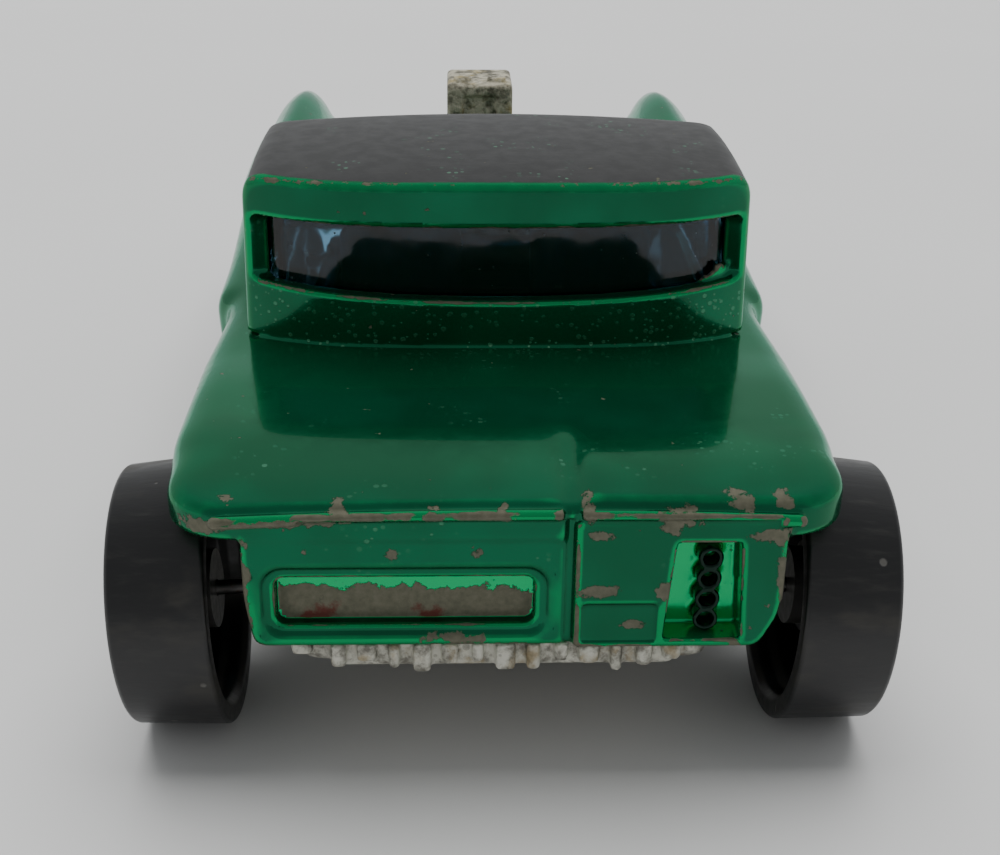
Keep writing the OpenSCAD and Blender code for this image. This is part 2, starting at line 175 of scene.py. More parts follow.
def slope_at(field, points, h=0.02):
    """A field's value and slope at points."""
    x, y, z = points.T
    value = field(x, y, z)
    slope = [field(x + h, y, z) - value, field(x, y + h, z) - value, field(x, y, z + h) - value]
    return value, np.stack(slope, 1) / h


def mesh_object(name, points, faces):
    """A smooth-shaded object from points in millimetres and faces that all have as many sides."""
    faces = np.asarray(faces, np.int32)
    mesh = bpy.data.meshes.new(name)
    mesh.vertices.add(len(points))
    mesh.vertices.foreach_set("co", (np.asarray(points) * MM).ravel())
    mesh.loops.add(faces.size)
    mesh.loops.foreach_set("vertex_index", faces.ravel())
    mesh.polygons.add(len(faces))
    mesh.polygons.foreach_set("loop_start", np.arange(0, faces.size, faces.shape[1], dtype=np.int32))
    mesh.polygons.foreach_set("use_smooth", np.ones(len(faces), bool))
    mesh.update(calc_edges=True)
    mesh.validate()
    obj = bpy.data.objects.new(name, mesh)
    bpy.context.collection.objects.link(obj)
    return obj


def mark(obj, name, values):
    """Stores one number per point, for the finish to read."""
    layer = obj.data.attributes.new(name, "FLOAT", "POINT")
    layer.data.foreach_set("value", np.asarray(values, np.float32))


deck_line = curve([(-33, 11.75), (-32, 11.85), (-30.2, 12.25), (-26.2, 12.6), (-21, 12.45),
                   (-17, 12.17), (-10, 12.15), (-2, 12.6), (4, 13.1), (12, 13.2), (20, 13.0),
                   (26, 12.4), (33, 10.9)], 0.8)
crown_line = curve([(-33, 0.0022), (-29, 0.0012), (-20, 0.001), (-12, 0.003), (0, 0.004),
                    (33, 0.006)], 1.5)
width_line = curve([(-33, 11.75), (-32, 12.15), (-30.4, 12.5), (-25.7, 13.0), (-20.8, 13.05),
                    (-16.8, 13.2), (-10.5, 13.05), (-8.6, 13.2), (-7.8, 13.9), (0, 13.9),
                    (8, 13.8), (17, 13.5), (24, 12.4), (29, 10.9), (33, 9.0)], 0.45)
under_line = curve([(-33, 10.45), (-29.2, 10.45), (-23.5, 5.0), (-19, 5.0), (26, 5.0),
                    (33, 6.0)], 0.4)
roof_line = curve([(-18, 19.45), (-16, 19.78), (-14, 19.98), (-11, 20.13), (-8, 20.13),
                   (-4.2, 19.9), (0, 19.4)], 0.7)


def deck_top(x, y):
    """Height of the deck and hood."""
    z = deck_line(y) - crown_line(y) * x * x
    tail = 1 - ramp(y, -29.2, -25.5)
    z = z + 0.2 * ramp(x, STEP_X - 0.1, STEP_X + 1.0) * tail
    z = z - 0.16 * np.exp(-((x - STEP_X + 0.1) / 0.5) ** 2) * tail
    hood = np.exp(-((x - 5.2) / 1.9) ** 2) * ramp(y, 2, 8) * (1 - ramp(y, 20, 25))
    return z + 0.8 * hood


def rear_wall(x):
    """How far back the cab's rear wall reaches."""
    return CAB_Y + 0.005 * x * x + 1.15e-4 * x ** 4


def cab_form(x, y, z, inset):
    wall = 11.42 - 0.02 * (z - 12.4) - inset
    screen = 2.3 - (z - SILL_Z) * SCREEN_LEAN - 0.006 * x * x - inset * 1.38
    roof = roof_line(y) - 0.0034 * x * x - inset
    form = both(np.abs(x) - wall, (y - screen) * 0.72, 0.6)
    form = both(form, z - roof, 1.3)
    return both(form, rear_wall(x) + inset - y, 0.34)


def fender_crown(ax, y, z):
    length = np.where(y < 18, 19.0, 10.0)
    u, v, w = np.abs(ax - 11.9) / 2.2, np.abs(y - 18) / length, np.maximum(z - 11.6, 0) / 3.5
    return ((u ** 1.7 + w ** 1.7 + 1e-9) ** (1 / 1.7) + 0.5 * v ** 2.4 - 1) * 2.0


def tail_parts(form, x, y, z):
    """Adds the block below the deck edge, with its two recesses, grooves and stacked pipes."""
    ax = np.abs(x)
    right = ramp(x, STEP_X - 0.1, STEP_X + 0.15)
    # Raised bead along the deck edge, with a groove below it
    bead = np.hypot(y - TAIL_Y - 0.3, z - 11.6 + 0.0022 * x * x) - 0.24
    gap = np.abs(x - STEP_X + 0.05) - 0.35
    form = either(form, np.maximum(both(bead, ax - 10.8, 0.3), -gap), 0.16)
    groove = np.hypot(y - TAIL_Y - 0.02, z - 11.12) - 0.36
    form = less(form, np.maximum(groove, np.maximum(-7.6 - x, x - 9.8)), 0.2)
    side = ax - np.where(x > 0, 10.2 - 0.8 * ramp(z, 8.0, 5.6), 9.75 - 0.3 * ramp(z, 8.5, 5.6))
    face = PANEL_Y - 0.24 * right - y
    block = both(both(side, PANEL_Z - z, 0.5), face, 0.22)
    block = both(block, np.maximum(z - 11.3, y + 27.6), 0.1)
    form = either(form, block, 0.2)
    seam = np.hypot(x - STEP_X + 0.1, (y - PANEL_Y + 0.1) * 0.8) - 0.16
    form = less(form, np.maximum(seam, z - 11.3), 0.25)
    (x0, z0), (x1, z1) = LIGHT_BAR
    dish = round_rect(x, z, (x0 - 0.35, z0 - 0.2), (x1 + 0.35, z1 + 0.32), 0.7)
    form = less(form, np.maximum(dish, y - PANEL_Y - 0.14), 0.5)
    pocket = round_rect(x, z, (x0, z0), (x1, z1), 0.4)
    form = less(form, np.maximum(pocket, y - PANEL_Y - 0.75 - 0.25 * (z - z0) / (z1 - z0)), 0.14)
    # Pocket with sloping sides, and the pipe ends that stand in it
    lean = (z - 6.35) / 4.1
    well = both(np.maximum(5.8 + 0.35 * lean - x, x - 8.7 + 0.2 * lean), np.abs(z - 8.4) - 2.05, 0.15)
    form = less(form, np.maximum(well, y - PANEL_Y - 1.0), 0.14)
    plate = round_rect(x, z, (STEP_X + 0.4, PANEL_Z + 0.25), (5.5, 7.85), 0.15)
    form = less(form, np.maximum(plate, y - PANEL_Y + 0.24 - 0.1), 0.16)
    for i in range(4):
        away = np.hypot(x - PIPE_X - 0.02 * i, z - PIPE_Z - PIPE_PITCH * i)
        pipe = both(away - PIPE_R, 0.3 - away, 0.06)
        pipe = np.maximum(pipe, np.abs(y - PANEL_Y - 0.75) - 0.6)
        form = either(form, pipe, 0.05)
    return form


def body_field(x, y, z):
    ax = np.abs(x)
    width = width_line(y) - 0.016 * (z - 11.5) ** 2
    ends = both(TAIL_Y + 0.45 - y + 0.0006 * x * x, y - NOSE_Y + 0.3 + 0.012 * x * x, 0.4)
    plan = both(ax - width, ends, 2.4)
    edge = 0.45 + 1.0 * ramp(y, -31.2, -27)
    form = both(z - deck_top(x, y), plan, edge)
    form = both(form, under_line(y) - z, 0.35)
    crown = fender_crown(ax, y, z)
    form = either(form, crown, 1.2)
    form = tail_parts(form, x, y, z)
    cab = np.maximum(cab_form(x, y, z, 0), 12 - z)
    form = either(form, cab, 0.12)
    deck_in = np.maximum(z - deck_top(x, y) + 0.75, np.maximum(ax - width + 0.8, -29.9 - y))
    deck_in = np.maximum(deck_in, y - NOSE_Y + 1.3 + 0.012 * x * x)
    hollow = np.minimum(np.minimum(deck_in, cab_form(x, y, z, 0.95)), crown + 0.8)
    form = less(form, hollow, 0.15)
    for wheel_y, wheel_z, clear in ((REAR_Y, REAR_ZC, 5.9), (FRONT_Y, FRONT_ZC, 5.65)):
        arch = np.maximum(np.hypot(y - wheel_y, z - wheel_z) - clear, 10.2 - ax)
        form = less(form, arch, 0.3)
    # Window openings, with splayed sides at the back
    depth = np.clip(y - rear_wall(x), 0, 1.4)
    sill = 14.35 + 0.003 * x * x
    slot = round_rect(ax + 0.85 * depth, z, (-11, sill), (11, 17.68), 0.35)
    form = less(form, np.maximum(slot, y + 13.2), 0.16)
    # Ragged flash left in the right end of the rear window
    crest = 14.25 + 1.1 * ramp(x, 8.3, 10.3) + 0.1 * np.sin(9 * x) + 0.06 * np.sin(23 * x)
    flash = np.maximum(z - crest, np.abs(y - rear_wall(x) - 0.7) - 0.13)
    flash_end = np.maximum(np.maximum(6.5 - x, x - 10.7), 13.6 - z)
    form = either(form, np.maximum(flash, flash_end), 0.1)
    slant = -(z - SILL_Z) * SCREEN_LEAN
    side_glass = np.maximum(round_rect(y, z, (-12, 14.1), (20, 17.9), 0.5), y + 0.6 - slant)
    form = less(form, both(side_glass, 9.8 - ax, 0.1), 0.2)
    screen = np.maximum(round_rect(x, z, (-9.7, 14.1), (9.7, 18.6), 0.6), slant + 0.4 - y)
    form = less(form, screen, 0.2)
    opening = np.maximum(round_rect(x, y, (-4, 7.9), (4, 17), 0.5), np.abs(z - 13) - 3)
    form = less(form, opening, 0.3)
    # Grille and lamp recesses in the nose
    grille = round_rect(x, z, (-3.9, 7), (3.9, 10.6), 0.4)
    lamps = np.hypot(np.abs(ax - 6.55) - 1.15, z - 9.2) - 0.9
    nose_face = NOSE_Y - 0.3 - 0.012 * x * x
    return less(form, np.maximum(np.minimum(grille, lamps), nose_face - 0.6 - y), 0.15)


coarse = 1.0
xs = steps((-14.4, -9, 0.2 * coarse), (-9, 12, 0.16 * coarse), (12, 14.4, 0.2 * coarse))
ys = steps((-32.4, -30.3, 0.1 * coarse), (-30.3, -18.2, 0.34 * coarse), (-18.2, -13.6, 0.13 * coarse),
           (-13.6, 33, 0.36 * coarse))
zs = steps((4.4, 5.9, 0.3 * coarse), (5.9, 12.9, 0.12 * coarse), (12.9, 14, 0.2 * coarse),
           (14, 20.6, 0.14 * coarse))
points, faces = net(body_field, xs, ys, zs)
body = mesh_object("body_shell", points, faces)
x, y, z = points.T
h = 0.22
bend = sum(body_field(x + a, y + b, z + c) for a, b, c in
           ((h, 0, 0), (-h, 0, 0), (0, h, 0), (0, -h, 0), (0, 0, h), (0, 0, -h))) / (h * h)
mark(body, "edge", np.clip(bend, -8, 8))
roof_face = np.minimum(y - rear_wall(x) - 0.34, np.minimum(11.0 - np.abs(x), (z - 19.0) * 2))
mark(body, "roof", np.minimum(roof_face, (-4.5 - 0.006 * x * x - y)))
worn = np.full(len(x), -1.0)
# Knocks on the tail: middle in x and z, then half the width and height
KNOCKS = ((-8.4, 11.3, 3.4, 0.28), (-11.2, 11.0, 1.2, 0.5), (-6.1, 11.7, 0.5, 0.4),
          (-10.2, 12.0, 0.4, 0.3), (-4.2, 9.9, 0.35, 0.3), (-1.1, 9.95, 0.35, 0.3),
          (-2.7, 11.6, 0.4, 0.35), (-0.2, 11.6, 0.45, 0.35), (3.3, 10.8, 0.6, 0.35),
          (2.9, 11.6, 0.45, 0.7), (6.1, 11.35, 1.0, 0.75), (9.6, 10.75, 1.1, 0.45),
          (8.4, 11.95, 0.7, 0.35), (9.9, 11.95, 0.5, 0.35), (3.3, 8.4, 0.9, 0.45),
          (5.7, 8.5, 0.4, 0.4), (4.6, 7.0, 0.8, 0.25), (-9.7, 8.6, 0.35, 2.4),
          (10.1, 9.0, 0.35, 1.6), (-2.0, 6.3, 1.5, 0.3))
for cx, cz, rx, rz in KNOCKS:
    worn = np.maximum(worn, 1 - np.hypot((x - cx) / rx, (z - cz) / rz))
worn = np.where(y < -30.6, worn, -1)
roof_rim = 0.7 - np.abs(z - 19.72 + 0.0035 * x * x) * 4 - np.abs(y - rear_wall(x) - 0.1) * 2
mark(body, "worn", np.maximum(worn, roof_rim))
seam = np.abs(cab_form(x, y, z, 0)) + np.abs(z - deck_top(x, y))
belt = (z > 12.2) & (z < 14.4) & (y < rear_wall(x) + 0.4) & (y > -18.5)
mark(body, "dusty", np.exp(-seam / 0.3) + 0.5 * belt)
# Painted highlight: the well beside the pipes is painted a lighter green below, for light falling
# into it.
well = (np.abs(x - 7.3) < 1.75) & (y > PANEL_Y - 0.1) & (y < -30) & (z > 6.2) & (z < 10.6)
mark(body, "well", well)
# Painted shade: the pipe ends in the well are painted near-black below, for the shade in their open
# ends.
pipes = (np.abs(x - 7.45) < 0.55) & (z > 6.45) & (z < 10.1) & (y < PANEL_Y + 0.9)
mark(body, "pipe", well & pipes)
# The pocket mark places bare zinc and red traces in the light-bar recess, and also a painted
# highlight: the recess is painted a lighter green.
pocket_depth = np.where((round_rect(x, z, *LIGHT_BAR, 0.4) < -0.02) & (y < -28), z, 20.0)
mark(body, "pocket", pocket_depth)
red = np.minimum(np.abs(x + 7.1) - 0.75, np.abs(x + 2.9) - 0.6)
mark(body, "red", np.where(pocket_depth < 19, -np.maximum(red, z - 7.3), -1))
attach(body, "chassis")
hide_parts("body_casting")


class Finish:
    """A finish made of nodes. Sizes are in millimetres on the piece itself."""

    def __init__(self, name, **sockets):
        self.material = bpy.data.materials.new(name)
        self.material.use_nodes = True
        self.tree = self.material.node_tree
        self.shader = self.tree.nodes["Principled BSDF"]
        for socket, value in sockets.items():
            self.shader.inputs[socket.replace("_", " ")].default_value = value
        scale = self.node("ShaderNodeVectorMath", operation="SCALE")
        scale.inputs["Scale"].default_value = 1 / MM
        self.tree.links.new(self.node("ShaderNodeTexCoord").outputs["Object"], scale.inputs[0])
        self.place = scale.outputs[0]

    def node(self, kind, **settings):
        made = self.tree.nodes.new(kind)
        for key, value in settings.items():
            setattr(made, key, value)
        return made

    def feed(self, socket, value):
        if isinstance(value, bpy.types.NodeSocket):
            self.tree.links.new(value, socket)
        else:
            socket.default_value = value

    def set(self, socket, value):
        self.feed(self.shader.inputs[socket], value)

    def sums(self, operation, *values):
        made = self.node("ShaderNodeMath", operation=operation)
        for socket, value in zip(made.inputs, values):
            self.feed(socket, value)
        return made.outputs[0]

    def number(self, name):
        return self.node("ShaderNodeAttribute", attribute_name=name).outputs["Fac"]

    def noise(self, size, detail=3.0, rough=0.5, stretch=(1, 1, 1), shift=(0, 0, 0)):
        mapping = self.node("ShaderNodeMapping")
        self.feed(mapping.inputs["Vector"], self.place)
        mapping.inputs["Scale"].default_value = [1 / (size * s) for s in stretch]
        mapping.inputs["Location"].default_value = shift
        made = self.node("ShaderNodeTexNoise")
        self.feed(made.inputs["Vector"], mapping.outputs[0])
        made.inputs["Scale"].default_value = 1
        made.inputs["Detail"].default_value = detail
        made.inputs["Roughness"].default_value = rough
        return made.outputs["Fac"]

    def specks(self, size, limit, shift=(0, 0, 0)):
        """1 in small round spots about size apart, 0 between them."""
        mapping = self.node("ShaderNodeMapping")
        self.feed(mapping.inputs["Vector"], self.place)
        mapping.inputs["Scale"].default_value = [1 / size] * 3
        mapping.inputs["Location"].default_value = shift
        cell = self.node("ShaderNodeTexVoronoi")
        self.feed(cell.inputs["Vector"], mapping.outputs[0])
        cell.inputs["Scale"].default_value = 1
        chance = self.node("ShaderNodeSeparateColor")
        self.feed(chance.inputs[0], cell.outputs["Color"])
        radius = self.sums("MULTIPLY", chance.outputs["Red"], limit)
        return self.between(self.sums("SUBTRACT", radius, cell.outputs["Distance"]), 0.0, 0.05)

    def between(self, value, low, high, start=0.0, end=1.0):
        made = self.node("ShaderNodeMapRange", interpolation_type="SMOOTHSTEP")
        for name, number in (("Value", value), ("From Min", low), ("From Max", high),
                             ("To Min", start), ("To Max", end)):
            self.feed(made.inputs[name], number)
        return made.outputs["Result"]

    def blend(self, amount, a, b):
        made = self.node("ShaderNodeMix", data_type="RGBA")
        for name, value in ((0, amount), (6, a), (7, b)):
            if isinstance(value, tuple) and len(value) == 3:
                value = (*value, 1)
            self.feed(made.inputs[name], value)
        return made.outputs[2]

    def mix(self, amount, a, b):
        made = self.node("ShaderNodeMix", data_type="FLOAT")
        for name, value in ((0, amount), (2, a), (3, b)):
            self.feed(made.inputs[name], value)
        return made.outputs[0]

    def bump(self, height, depth):
        """height runs from 0 to 1, and depth is in millimetres."""
        made = self.node("ShaderNodeBump")
        made.inputs["Strength"].default_value = 1
        made.inputs["Distance"].default_value = depth * MM
        self.feed(made.inputs["Height"], height)
        self.set("Normal", made.outputs[0])


paint = Finish("candy_paint", Coat_Roughness=0.04, Coat_IOR=1.45)
cloud = paint.noise(5, 2)
fine_cloud = paint.noise(0.8, 4, 0.6)
ragged = paint.sums("SUBTRACT", paint.noise(0.7, 5, 0.65), 0.5)
green = paint.blend(paint.between(cloud, 0.35, 0.65), (0.0, 0.088, 0.036), (0.0, 0.118, 0.05))
thin = paint.between(paint.sums("ADD", paint.number("edge"), fine_cloud), 1.6, 3.8)
green = paint.blend(paint.sums("MULTIPLY", thin, 0.8), green, (0.0, 0.30, 0.09))
# Painted highlight: the light-bar pocket and the well are painted a lighter green, for light falling
# into them.
in_bar = paint.between(paint.number("pocket"), 15, 14, 0, 1)
painted_light = paint.sums("MAXIMUM", paint.number("well"), in_bar)
green = paint.blend(painted_light, green, (0.0, 0.42, 0.14))
# The sprayed roof stops just short of the roof's edge
roof = paint.sums("ADD", paint.number("roof"), paint.sums("MULTIPLY", ragged, 0.22))
roof = paint.between(roof, 0.0, 0.02)
scuffs = paint.between(paint.noise(0.12, 2, 0.5, (14, 1, 1)), 0.62, 0.74)
roof_black = paint.blend(scuffs, (0.007, 0.007, 0.007), (0.022, 0.021, 0.02))
colour = paint.blend(roof, green, roof_black)
# Fine dust and pits, thickest on the wall below the rear window
thick = paint.sums("MAXIMUM", paint.between(paint.noise(3, 2), 0.55, 0.8), paint.number("dusty"))
dust = paint.sums("MULTIPLY", paint.specks(0.3, 0.42, (3, 1, 7)), thick)
colour = paint.blend(paint.sums("MULTIPLY", dust, 0.7), colour, (0.10, 0.30, 0.18))
# Knocked through to the zinc on the sharpest edges and on the marked spots
uneven = paint.sums("MULTIPLY", paint.sums("SUBTRACT", paint.noise(2, 4, 0.6), 0.52), 12)
knock = paint.sums("ADD", paint.number("edge"), uneven)
bare = paint.between(knock, 5.2, 5.6)
spots = paint.sums("ADD", paint.number("worn"), paint.sums("MULTIPLY", ragged, 2.6))
bare = paint.sums("MAXIMUM", bare, paint.between(spots, 0.3, 0.42))
chips = paint.between(paint.noise(0.55, 3, 0.5, shift=(4, 9, 2)), 0.735, 0.75)
bare = paint.sums("MAXIMUM", bare, chips)
pocket = paint.sums("SUBTRACT", paint.sums("MULTIPLY", ragged, 1.6), paint.number("pocket"))
bare = paint.sums("MAXIMUM", bare, paint.between(pocket, -8.1, -8.0))
zinc = paint.blend(paint.noise(0.3, 4, 0.65), (0.05, 0.06, 0.035), (0.20, 0.185, 0.135))
colour = paint.blend(bare, colour, zinc)
trace = paint.sums("ADD", paint.number("red"), paint.sums("MULTIPLY", ragged, 1.6))
red_trace = paint.between(trace, -0.05, 0.35)
colour = paint.blend(paint.sums("MULTIPLY", red_trace, 0.9), colour, (0.11, 0.018, 0.012))
# Painted shade: the stacked pipe ends are painted near-black, for the shade in their open ends.
colour = paint.blend(paint.number("pipe"), colour, (0.003, 0.012, 0.008))
paint.set("Base Color", colour)
bare = paint.sums("MULTIPLY", bare, paint.sums("SUBTRACT", 1.0, paint.number("pipe")))
metal = paint.mix(bare, 0.72, 0.5)
paint.set("Metallic", paint.mix(roof, metal, paint.mix(bare, 0.0, 0.6)))
sheen = paint.between(fine_cloud, 0.3, 0.7, 0.12, 0.2)
satin = paint.between(fine_cloud, 0.3, 0.7, 0.40, 0.46)
paint.set("Roughness", paint.mix(bare, paint.mix(roof, sheen, satin), 0.55))
clear = paint.mix(roof, 0.2, 0.0)
opaque = paint.sums("MAXIMUM", roof, bare)
paint.set("Specular Tint", paint.blend(opaque, (0.3, 0.75, 0.55), (1.0, 1.0, 1.0)))
paint.set("Coat Weight", paint.mix(paint.sums("MAXIMUM", bare, red_trace), clear, 0.0))
height = paint.sums("SUBTRACT", paint.sums("MULTIPLY", paint.noise(0.3, 3), 0.1), bare)
height = paint.sums("ADD", height, paint.sums("MULTIPLY", dust, 0.5))
paint.bump(height, 0.03)
body.data.materials.append(paint.material)

# ---------------------------------------------------------------- window piece
# One clear moulding, tinted dark blue, pushed up inside the cab. It closes every window
# opening from within, and shows a little haze, moulding ripple and dust.
def window_field(x, y, z):
    shell = less(cab_form(x, y, z, 1.02), cab_form(x, y, z, 1.62), 0.1)
    return both(shell, 13.6 - z, 0.1)


window = mesh_object("window_piece", *net(window_field, steps((-11, 11, 0.25 * coarse)),
                     steps((-16.6, -12, 0.2 * coarse), (-12, 2, 0.3 * coarse)),
                     steps((13.3, 19.4, 0.2 * coarse))))
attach(window, "chassis")
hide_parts("window_insert")
clear_blue = Finish("blue_clear", IOR=1.45, Transmission_Weight=1.0)
haze = clear_blue.noise(2.5, 4, 0.6)
lint = clear_blue.specks(0.7, 0.12)
hazy = clear_blue.between(haze, 0.4, 0.8, 0.03, 0.12)
clear_blue.set("Roughness", clear_blue.mix(lint, hazy, 0.6))
clear_blue.set("Base Color", clear_blue.blend(lint, (0.10, 0.24, 0.36), (0.6, 0.65, 0.65)))
clear_blue.bump(clear_blue.noise(3, 2), 0.05)
window.data.materials.append(clear_blue.material)

# ---------------------------------------------------------------- interior
# A black moulding held between the base and the window piece: floor tub, two bucket seats
# with ribbed backs, a dashboard and a steering wheel on its column.
def interior_field(x, y, z):
    ax = np.abs(x)
    tub = soft_box(x, y, z, (-9, -13.7, 7), (9, 2.3, 11), 0.4)
    tub = less(tub, soft_box(x, y, z, (-8.2, -11.7, 8), (8.2, 1.5, 14), 0.4), 0.2)
    form = tub
    for seat_x in (-4.4, 4.4):
        u = x - seat_x
        rib = 0.07 * np.cos(u * 2 * np.pi / 0.9) * (np.abs(u) < 1.9)
        lean = 0.12 * (z - 10)
        back = soft_box(u, y - lean, z, (-2.8, -12.9, 8), (2.8, -11.6, 16.3), 0.6) + rib
        base = soft_box(u, y, z, (-3, -12.3, 8), (3, -7.1, 9.9), 0.6) + rib
        form = either(form, either(back, base, 0.5), 0.2)
    dash = soft_box(x, y, z, (-8.6, -1.1, 10.2), (8.6, 0.7, 11.9), 0.4)
    return either(form, dash, 0.3)


interior = mesh_object("interior", *net(interior_field, steps((-9.4, 9.4, 0.25 * coarse)),
                       steps((-14, 2.6, 0.25 * coarse)), steps((6.7, 16.7, 0.25 * coarse))))
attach(interior, "chassis")
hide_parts("interior_tray")
moulding = Finish("black_moulding")
grain = moulding.noise(0.25, 3)
moulding.set("Base Color", moulding.blend(grain, (0.012, 0.012, 0.014), (0.03, 0.03, 0.034)))
moulding.set("Roughness", moulding.between(grain, 0.2, 0.8, 0.38, 0.55))
moulding.bump(grain, 0.02)
interior.data.materials.append(moulding.material)


def lathe(profile, rounds=96):
    """Points and faces of a closed profile of (radius, height) turned about Z."""
    profile = np.asarray(profile, float)
    angle = np.linspace(0, 2 * np.pi, rounds, endpoint=False)
    ring = np.stack([np.outer(np.cos(angle), profile[:, 0]), np.outer(np.sin(angle), profile[:, 0]),
                     np.tile(profile[:, 1], (rounds, 1))], 2).reshape(-1, 3)
    count = len(profile)
    a, i = np.meshgrid(np.arange(rounds), np.arange(count), indexing="ij")
    b, j = (a + 1) % rounds, (i + 1) % count
    faces = np.stack([a * count + i, b * count + i, b * count + j, a * count + j], 2).reshape(-1, 4)
    return ring, faces


# Steering wheel: a ring on a column, facing the left seat
tube = [(1.25 + 0.2 * math.cos(a), 0.2 * math.sin(a))
        for a in np.linspace(0, 2 * np.pi, 12, endpoint=False)]
ring, faces = lathe(tube, 32)
tilt = np.array(Matrix.Rotation(math.radians(60), 3, "X"))
steering = mesh_object("steering_ring", ring @ tilt.T + (-4.4, -3.7, 13), faces)
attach(steering, "chassis")
steering.data.materials.append(moulding.material)
column, faces = lathe([(0.02, -2.6), (0.3, -2.6), (0.28, 0.1), (0.5, 0.15), (0.5, 0.25),
                       (0.02, 0.3)], 20)
column = mesh_object("steering_column", column @ tilt.T + (-4.4, -3.7, 13), faces)
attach(column, "chassis")
column.data.materials.append(moulding.material)

# ---------------------------------------------------------------- base
# A bare zinc casting that closes the underside. It sweeps up at both ends, carries a cast gear
# case, exhausts and engine pan in relief, and holds the spring wires in saddles. It has gone
# pale and yellowish with age.
base_line = curve([(-31.2, 4.9), (-27.8, 3.55), (-26, 3.5), (20, 3.5), (22.8, 3.5), (30.3, 5.0)], 0.3)
ARM = 6.5             # each wire is held this far from its wheel
REAR_WIRE_Z, FRONT_WIRE_Z = 5.55, 4.951


def base_field(x, y, z):
    ax = np.abs(x)
    middle = round_rect(x, y, (-10.6, -18.6), (10.6, 8.8), 1.2)
    plan = either(middle, round_rect(x, y, (-7.9, -30), (7.9, 27), 1), 0.6)
    plan = either(plan, round_rect(x, y, (-6.7, -31), (6.5, 30.3), 0.6), 0.6)
    low = base_line(y)
    form = both(plan, np.maximum(low - z, z - low - 1), 0.3)
    wall = soft_box(x, y, z, (-6.6, -31, 4.9), (6.4, -30, 5.98), 0.15)
    form = either(form, wall, 0.2)
    for i in range(13):
        size = 0.8 + 0.25 * math.sin(i * 2.3)
        u = x + 6.35 - i * 1.05
        drop = 0.25 * math.sin(i * 1.7)
        knob = soft_box(u, y, z, (-0.36 * size, -31.42, 4.95 + drop),
                        (0.36 * size, -30.6, 5.97), 0.17)
        form = either(form, knob, 0.12)
    for u, w in ((-7.75, 0.42), (7.1, 0.3)):
        form = either(form, soft_box(x, y, z, (u - w, -31.0, 5.25), (u + w, -29.4, 5.95), 0.2), 0.2)
    web = soft_box(x, y, z, (-8, -30, 4.6), (7.3, -29.5, 5.7), 0.15)
    form = either(form, web, 0.2)
    housing = np.hypot(y - REAR_Y, z - 4.1) - 0.9
    form = either(form, both(housing, ax - 7.4, 0.3), 0.4)
    gears = np.sqrt(x ** 2 + (y - REAR_Y - 0.6) ** 2 + ((z - 4.2) * 1.1) ** 2) - 1.7
    form = either(form, gears, 0.5)
    pan = soft_box(x, y, z, (-2.6, 11.2, 3.0), (2.6, 18.8, 4.5), 0.4)
    form = either(form, pan, 0.4)
    pipes = np.hypot(ax - 5.4, z - 3.75) - 0.7
    pipes = both(pipes, np.maximum(-21.2 - y, y - 5.8), 0.4)
    form = either(form, pipes, 0.4)
    shaft = both(np.hypot(x, z - 3.8) - 0.65, np.maximum(-25 - y, y - 11.5), 0.3)
    form = either(form, shaft, 0.4)
    ribs = np.maximum(np.maximum(3.25 - z, z - 4), ax - 9.6)
    ribs = both(np.abs((y + 200) % 3.1 - 1.55) - 0.22, ribs, 0.2)
    ribs = both(ribs, np.maximum(np.maximum(-17.5 - y, y - 7.5), 7 - ax), 0.2)
    form = either(form, ribs, 0.25)
    for wire_y, wire_z in ((REAR_Y + ARM, REAR_WIRE_Z), (FRONT_Y - ARM, FRONT_WIRE_Z)):
        for saddle_x in (2.6, 6.9):
            saddle = soft_box(ax, y, z, (saddle_x - 0.6, wire_y - 0.9, 4.2),
                              (saddle_x + 0.6, wire_y + 0.9, wire_z + 0.8), 0.15)
            form = either(form, saddle, 0.2)
        form = less(form, np.maximum(np.hypot(y - wire_y, z - wire_z) - 0.36, ax - 9), 0.05)
    for post_y in (-28.4, 25.8):
        away = np.hypot(x, y - post_y)
        form = less(form, np.minimum(away - 1.3, np.maximum(away - 1.95, z - 4.0)), 0.1)
    return form


base = mesh_object("base_casting", *net(base_field, steps((-11, 11, 0.2 * coarse)),
                   steps((-31.8, -29, 0.12 * coarse), (-29, 31, 0.3 * coarse)),
                   steps((2.2, 7.2, 0.17 * coarse))))
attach(base, "chassis")
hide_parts("base_plate")


def cast_zinc(name, pale, dark, stain):
    """Zinc as cast: grey metal with a pale bloom, dark hollows and brownish stains."""
    cast = Finish(name)
    bloom = cast.noise(0.7, 5, 0.65)
    colour = cast.blend(cast.between(bloom, 0.35, 0.6), dark, pale)
    brown = cast.between(cast.noise(1.3, 4, 0.6, shift=(5, 2, 8)), 0.52, 0.68)
    colour = cast.blend(cast.sums("MULTIPLY", brown, 0.75), colour, stain)
    pits = cast.specks(0.5, 0.35)
    cast.set("Base Color", cast.blend(cast.sums("MULTIPLY", pits, 0.5), colour, dark))
    cast.set("Metallic", cast.between(bloom, 0.35, 0.65, 0.75, 0.25))
    cast.set("Roughness", cast.between(cast.noise(0.3, 3), 0.3, 0.7, 0.42, 0.62))
    cast.bump(cast.sums("ADD", cast.noise(0.35, 4, 0.6), cast.sums("MULTIPLY", bloom, 1.5)), 0.07)
    return cast.material


base_zinc = cast_zinc("base_zinc", (0.62, 0.61, 0.53), (0.20, 0.19, 0.16), (0.34, 0.27, 0.15))
base.data.materials.append(base_zinc)

# ---------------------------------------------------------------- engine
# A small zinc casting that stands in the hood opening on its foot: block, two banks of
# stacks, intake case and a scoop with an open front.
STACK_LEAN = math.radians(40)


